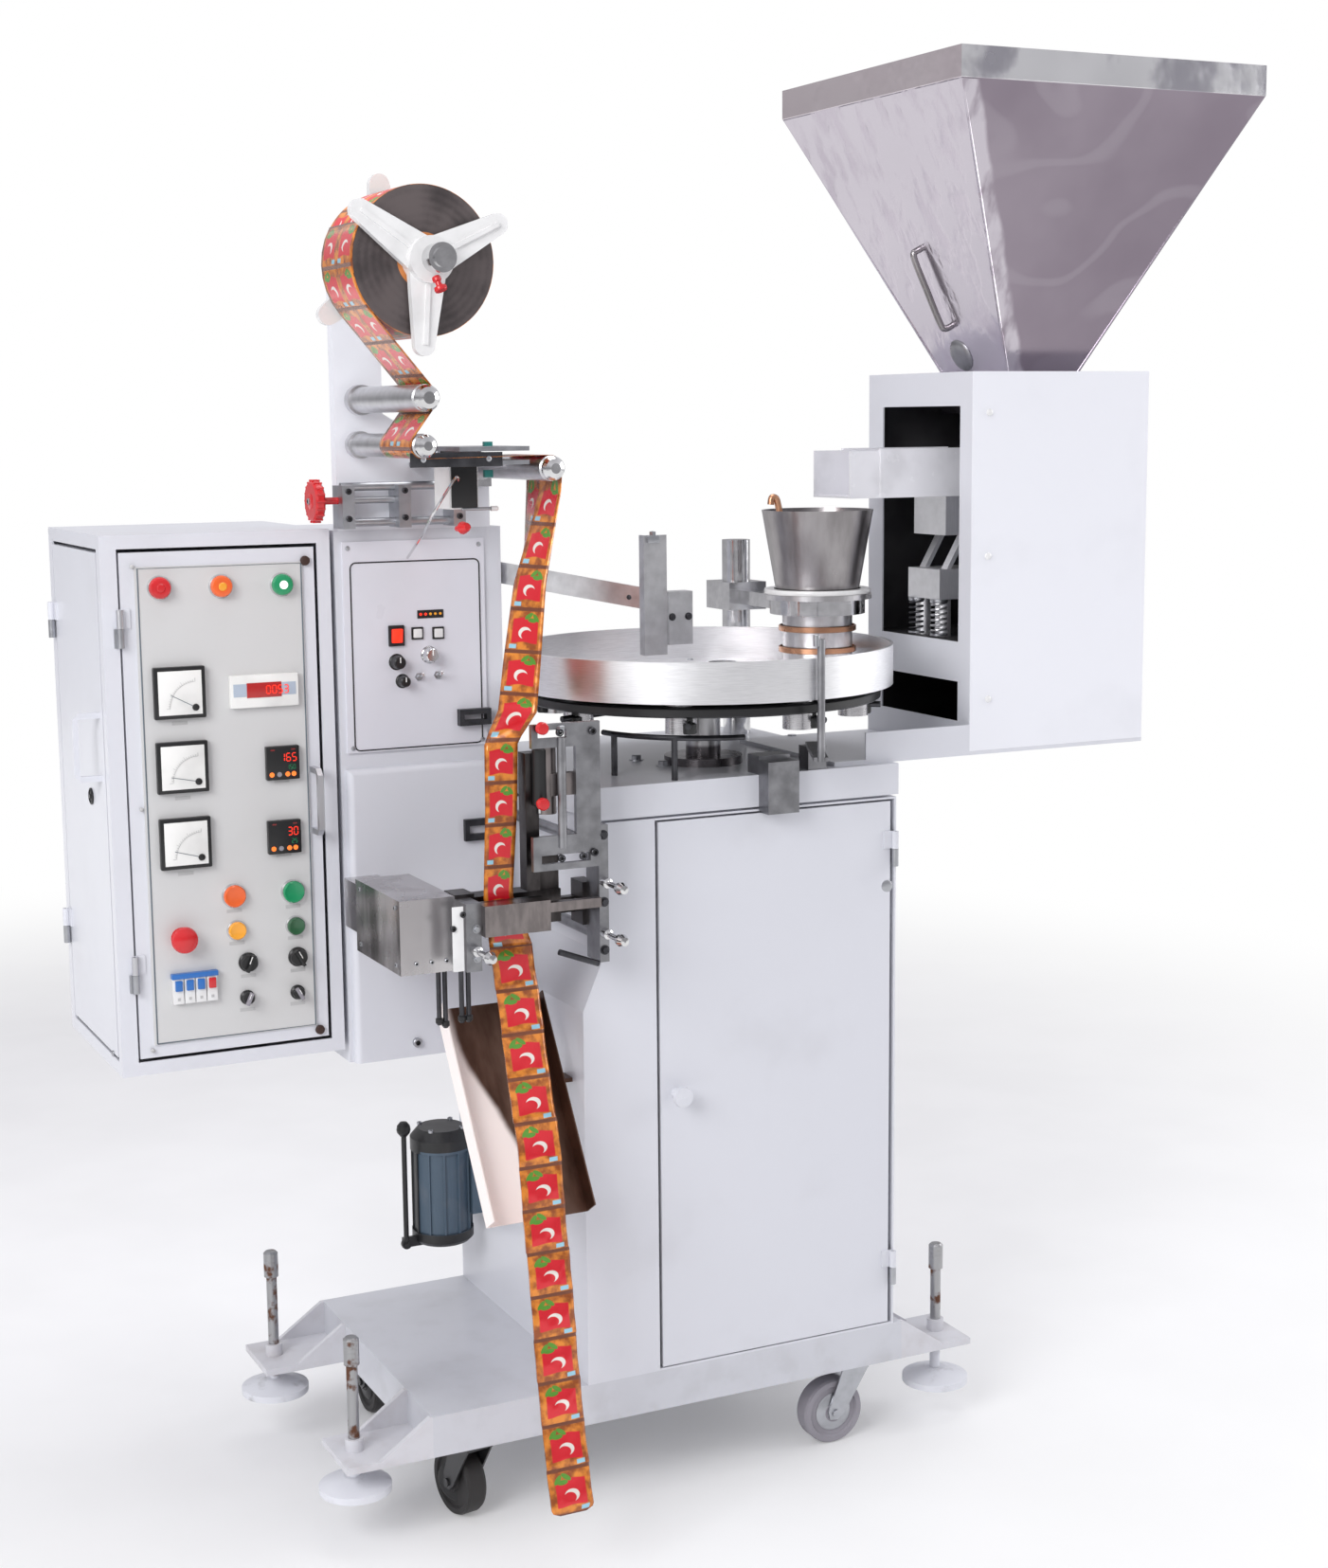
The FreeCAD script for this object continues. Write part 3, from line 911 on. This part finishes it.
# Folding and sealing station between the head and the body's notch.
def sealing_station():
    bar, top_bar = "frame_low + frame_low_bar", "frame_top - frame_top_bar"
    right, left = "plate_x + 3", "plate_x + 3 - frame_bar"
    shape = [("frame_x", "frame_low"), (right, "frame_low"), (right, "frame_top"), ("frame_x", "frame_top"),
             ("frame_x", top_bar), (left, top_bar), (left, bar), ("frame_x", bar)]
    plate = slab("seal_frame", "XZ_Plane", shape, "frame_y", "frame_thick")
    slots = [box("seal_slot_low", "frame_x + 12", "frame_y - 1", "frame_low + 9", 72, "frame_thick + 2", 12),
             box("seal_slot_high", "frame_x + 9", "frame_y - 1", "frame_top - 19", 42, "frame_thick + 2", 11)]
    side = box("seal_plate_right", "plate_x", "plate_front", "plate_low", "side_plate",
               "frame_y + frame_thick + side_plate_deep - plate_front", "side_plate_high")
    stay = rod("frame_rod", "Z", f"{left} - 21", "frame_y", f"{bar} - 17", 6, f"{top_bar} - ({bar}) + 30")
    slides = [rod(f"slide_right_{i}", "Y", "frame_end + 3", "web_y - 13", z, "guide_rod",
                  "notch_back - web_y + 13") for i, z in enumerate(("jaw_z - 25", "jaw_z + 100"))]
    whole = cut("seal_right_frame", fuse("seal_right_all", [plate, side, stay] + slides), slots)
    left_side = box("seal_plate_left", "left_x", "web_y - 33", "jaw_z - 48", "left_plate", 40, "left_plate_high")
    left_slide = rod("slide_left", "Y", "left_x + left_plate/2", "web_y + 7", "jaw_z - 25", "guide_rod",
                     "bulge_front - web_y - 7")
    node("sealing_frame", [whole, fuse("seal_left_all", [left_side, left_slide])])

    low = box("slot_plate_low", "frame_x + 25", "bulge_front - 8", "frame_low - 10", 47, 8, 32)
    low_hole = box("slot_hole_low", "frame_x + 32", "bulge_front - 9", "frame_low", 33, 10, 12)
    high = box("slot_plate_high", "frame_x + 23", "head_front - photo_plate_thick - 12", f"{top_bar} - 7",
               49, 12, 24)
    high_hole = box("slot_hole_high", "frame_x + 30", "head_front - photo_plate_thick - 13", f"{top_bar} + 1",
                    35, 14, 8)
    node("film_brackets", [cut("slot_low", low, [low_hole]), cut("slot_high", high, [high_hole])])

    jaw_long = "jaw_left + jaw_right"
    front = fuse("jaw_front", [box("jaw_front_bar", "web_x - jaw_left", "front_jaw_y", "jaw_z", jaw_long,
                                   "jaw_deep", "jaw_high"),
                               box("jaw_front_neck", "web_x + jaw_right", "front_jaw_y + 4", "jaw_z + 24",
                                   "plate_x - web_x - jaw_right", 12, 13)])
    rear = box("jaw_rear_bar", "left_x + left_plate + 5", "rear_jaw_y", "jaw_z - 2",
               "web_x + jaw_right + 40 - left_x - left_plate - 5", "jaw_deep", "jaw_high + 4")
    arms = [box("jaw_arm_left", "left_x", "web_y + 7", "jaw_z - 10", "left_plate + 6", 40, 60),
            box("jaw_arm_right", "plate_x - 6", "web_y + 7", "jaw_z - 10", "side_plate + 6", 40, 60),
            box("jaw_rear_stay", "web_x + jaw_right + 36", "rear_jaw_y + jaw_deep - 14", "jaw_z + 4",
                "plate_x - web_x - jaw_right - 38", 14, 22),
            box("jaw_rear_block", "web_x + jaw_right + 2", "rear_jaw_y + 2", "jaw_z + 40", 36, "jaw_deep - 8",
                "block_high")]
    heater_x = "web_x + 50"
    heater = [rod("side_heater", "Z", heater_x, "web_y - 16", "jaw_top + 113", "heater_radius", "heater_high"),
              box("side_seal_bar", "web_x + 20", "web_y - 14", "jaw_top + 8", 19, 24, "heater_high + 96"),
              box("side_heater_arm", heater_x, "frame_y + frame_thick", "jaw_top + 138", f"{left} + 12 - ({heater_x})",
                  14, 30)]
    node("sealing_jaws", [front, fuse("jaw_rear", [rear] + arms), fuse("side_heater_set", heater)])

    shape = [("0", "0"), ("7", "0"), ("7", "14"), ("4", "16"), ("4", "plunger_long - 21"),
             ("8", "plunger_long - 17"), ("9", "plunger_long - 9"), ("6", "plunger_long - 1"), ("0", "plunger_long")]
    plungers = []
    for i, (x, y, z) in enumerate((("plate_x + side_plate/2", "plate_front", "jaw_z + 57"),
                                   ("plate_x + side_plate/2", "plate_front", "jaw_z - 14"),
                                   ("left_x + left_plate/2", "web_y - 33", "jaw_z - 18"))):
        plungers.append(put(turned(f"plunger_{i}", shape), x, y, z, ((1, 0, 0), 90)))
    node("jaw_plungers", plungers)
    case = box("jaw_cover_case", "left_x - cover_long", "web_y + 7", "jaw_z - 53", "cover_long", "cover_deep",
               "cover_high")
    neck = box("jaw_cover_neck", "left_x - cover_long + 16", "web_y + 7 + cover_deep", "jaw_z - 38", "cover_neck",
               "bulge_front - web_y - 7 - cover_deep", "cover_high - 32")
    node("jaw_drive_cover", [fuse("jaw_cover", [case, neck])])


# Steep chute behind the chain, open at the front end.
def chute():
    along = ("chute_run/chute_slope", "chute_rise/chute_slope")

    def strip(thick):
        back = (f"-({thick})*{along[1]}", f"({thick})*{along[0]}")
        foot = ("chute_foot", "chute_low")
        top = ("chute_foot + chute_run", "chute_low + chute_rise")
        return [foot, top, (f"{top[0]} + {back[0]}", f"{top[1]} + {back[1]}"),
                (f"{foot[0]} + {back[0]}", f"{foot[1]} + {back[1]}")]

    floor = slab("chute_floor", "YZ_Plane", strip("chute_sheet"), "chute_x", "chute_wide")
    sides = [slab(f"chute_side_{i}", "YZ_Plane", strip("chute_lip"), x, "chute_sheet")
             for i, x in enumerate(("chute_x", "chute_x + chute_wide - chute_sheet"))]
    tab = box("chute_tab", "chute_x + chute_wide", "chute_foot + 106", "chute_low + 155",
              "body_x - chute_x - chute_wide", 30, 6)
    node("discharge_chute", [fuse("chute", [floor, tab] + sides)])


# Drive motor and clutch lever low on the body's left side.
def drive():
    waist = "motor_radius - fin_deep"
    profile = [("0", "motor_low"), ("motor_radius - 6", "motor_low"), ("motor_radius", "motor_low + 6"),
               ("motor_radius", "motor_low + motor_end"), (waist, "motor_low + motor_end"),
               (waist, "motor_top - motor_end - 14"), ("motor_radius", "motor_top - motor_end - 14"),
               ("motor_radius", "motor_top - 14"), ("motor_radius - 12", "motor_top"), ("0", "motor_top")]
    parts = [turned("motor_body", profile, "motor_x", "motor_y", 0)]
    for i in range(12):
        fin = box(f"motor_fin_{i}", "motor_radius - fin_deep - 3", "-fin_thick/2", 0, "fin_deep + 2",
                  "fin_thick", "motor_high - 2*motor_end - 10")
        parts.append(turn_about(f"motor_fin_set_{i}", fin, "motor_x", "motor_y", 30 * i + 15,
                                "motor_low + motor_end - 2"))
    parts.append(box("motor_mount", "motor_x + 35", "motor_y - 40", "motor_low + 45", "motor_side - 35", 80, 90))
    parts.append(box("motor_lug", "lever_x - 4", "motor_y - 8", "lever_z - 8", "lever_side - 30", 6, 16))
    parts.append(rod("lever_pin", "Y", "lever_x", "motor_y - 18", "lever_z", "lever_pin", 12))
    node("drive_motor", [fuse("motor", parts)])

    lever_y = "motor_y - 8 - rest_gap - lever_radius"
    arm = rod("lever_arm", "Z", "lever_x", lever_y, "lever_z - 6", "lever_radius", "lever_long + 6")
    eye = rod("lever_eye_ring", "Y", "lever_x", f"{lever_y} - lever_radius + 0.6", "lever_z", "lever_eye",
              "2*lever_radius - 1.2")
    knob = turned("lever_ball", [("0", "0"), ("lever_knob*0.5", "2"), ("lever_knob*0.9", "lever_knob*0.7"),
                                 ("lever_knob", "lever_knob*1.1"), ("lever_knob*0.9", "lever_knob*1.7"),
                                 ("lever_knob*0.5", "lever_knob*2.2"), ("0", "lever_knob*2.3")],
                  "lever_x", lever_y, "lever_z + lever_long - 4")
    bore = rod("lever_bore", "Y", "lever_x", "motor_y - 20", "lever_z", "lever_pin + running_play", 14)
    node("clutch_lever", [cut("lever", fuse("lever_all", [arm, eye, knob]), [bore])])


# Photo register unit in front of the column, with its handwheel, guide plates and sensor.
def register_unit():
    mid_y = "block_y + block_deep/2"
    blocks = [box(f"register_block_{i}", x, "block_y", "block_z", "block_thick", "block_deep", high)
              for i, (x, high) in enumerate((("block_x", "block_high"), ("block_x + block_span", "block_high"),
                                             ("block_x + block_far", "block_high + 22")))]
    rods = [rod(f"register_rod_{i}", "X", "block_x + 4", mid_y, z, "register_rod", "block_far + 4")
            for i, z in enumerate(("block_z + 8", "block_z + 58"))]
    screw = rod("register_screw", "X", "block_x + 14", mid_y, "block_z + 39", "spindle_radius", "block_span")
    bore = rod("register_bore", "X", "block_x - 1", mid_y, "block_z + 39", "spindle_radius + running_play", 15)
    arm = box("guide_arm", "guide_x + 28", "guide_y + 122", "exit_z", 34, "head_front - guide_y - 122", "guide_thick")
    plates = [box(f"guide_plate_{i}", "guide_x", "guide_y", z, "guide_long", "guide_wide", "guide_thick")
              for i, z in enumerate(("exit_z + 6", "exit_z + 24"))]
    post = box("guide_post", "guide_x + 20", "guide_y + 124", "exit_z", 60, 10, 30)
    left = cut("register_left", fuse("register_all", blocks + rods + [screw]), [bore])
    node("register_unit", [left, fuse("film_guides", plates + [arm, post])])
    near = "-wheel_out - hand_thick"
    wheel = [("0", near), ("hand_radius - 3", near), ("hand_radius", f"{near} + 3"), ("hand_radius", "-wheel_out - 3"),
             ("hand_radius - 3", "-wheel_out"), ("spindle_radius", "-wheel_out"), ("spindle_radius", "13"), ("0", "13")]
    node("register_handwheel", [turned("handwheel", wheel, "block_x", mid_y, "block_z + 39", "X")])
    node("photo_sensor", [box("sensor", "guide_x + 8", "guide_y + 60", "exit_z + 6 - sensor_high", "sensor_long",
                              "sensor_deep", "sensor_high")])


# Fittings on and over the turntable: the levelling blade on its bar, the pin and the stop.
def table_fittings():
    bar = slab("blade_bar", "XZ_Plane", [("0", "-bar_high/2"), ("bar_long", "-bar_high/2 - bar_drop"),
                                         ("bar_long", "bar_high/2 - bar_drop"), ("0", "bar_high/2")], 0, 4)
    held = turn_about("blade_bar_set", bar, "body_x", "head_front + 18", -46.5, "head_top - 68")
    foot = box("blade_foot", "body_x", "head_front + 10", "head_top - 86", 4, 18, 36)
    x, y, z = "turn_x - 123", "turn_y - 60", "ring_top - 7"
    blade = fuse("blade", [box("blade_strip", x, y, z, "blade_long", 3, "blade_high"),
                           box("blade_lip", x, y, z, 3, 16, "blade_high"),
                           box("blade_block", f"{x} + blade_long", f"{y} - 6", f"{z} + 14", 38, 26, 76), held, foot])
    node("levelling_blade", [blade])
    stop = fuse("stop", [box("stop_front", "turn_x + 11", "table_front - stop_out", "table_top - 54", "stop_wide",
                             "stop_out", "stop_high"),
                         box("stop_top", "turn_x + 11", "table_front - 0.5", "table_top", "stop_wide", 34, 27)])
    block = box("pin_block", "turn_x + 94", "table_front + 3", "table_top", 30, 28, 34)
    strip = turn_about("pin_strip_set", box("pin_strip", 0, -10, 0, 166, 20, 6), "turn_x + 107",
                       "table_front + 15", -115.3, "table_top + 34")
    pin = rod("level_pin", "Z", "turn_x + 37", "table_front - 133", "table_top + 34", "pin_radius", "pin_high")
    node("table_stops", [stop, fuse("pin_all", [block, strip, pin])])


for corner in CORNERS:
    levelling_screw(corner)
base_frame()
node("levelling_lugs", [lug(corner) for corner in CORNERS])
node("castor_mounts", [castor_mount(corner) for corner in CASTORS])
for corner in CASTORS:
    castor_fork(corner)
    castor_wheel(corner)
body_shell()
table()
head_housing()
column()
shafts()
for roller in ROLLERS:
    guide_roller(roller)
film_reel()
control_case()
node("door_hinges", body_door() + control_door() + side_door())
instruments()
turntable()
filling_cone()
feeder_box()
vibrating_feeder()
product_hopper()
sealing_station()
film_web()
pouch_chain()
chute()
drive()
register_unit()
table_fittings()


doc.recompute()
faulty = [o.Name for o in doc.Objects if "Invalid" in o.State or "Error" in o.State]
faulty += [o.Label for o in NODES if o.Shape.isNull() or not o.Shape.isValid() or not o.Shape.Solids]
if faulty:
    raise RuntimeError("faulty pieces: " + ", ".join(faulty))

os.makedirs("parts", exist_ok=True)
for piece in NODES:
    piece.Shape.exportStep(f"parts/{piece.Label}.step")
print(len(NODES), "nodes,", sum(len(piece.Shape.Solids) for piece in NODES), "solids")
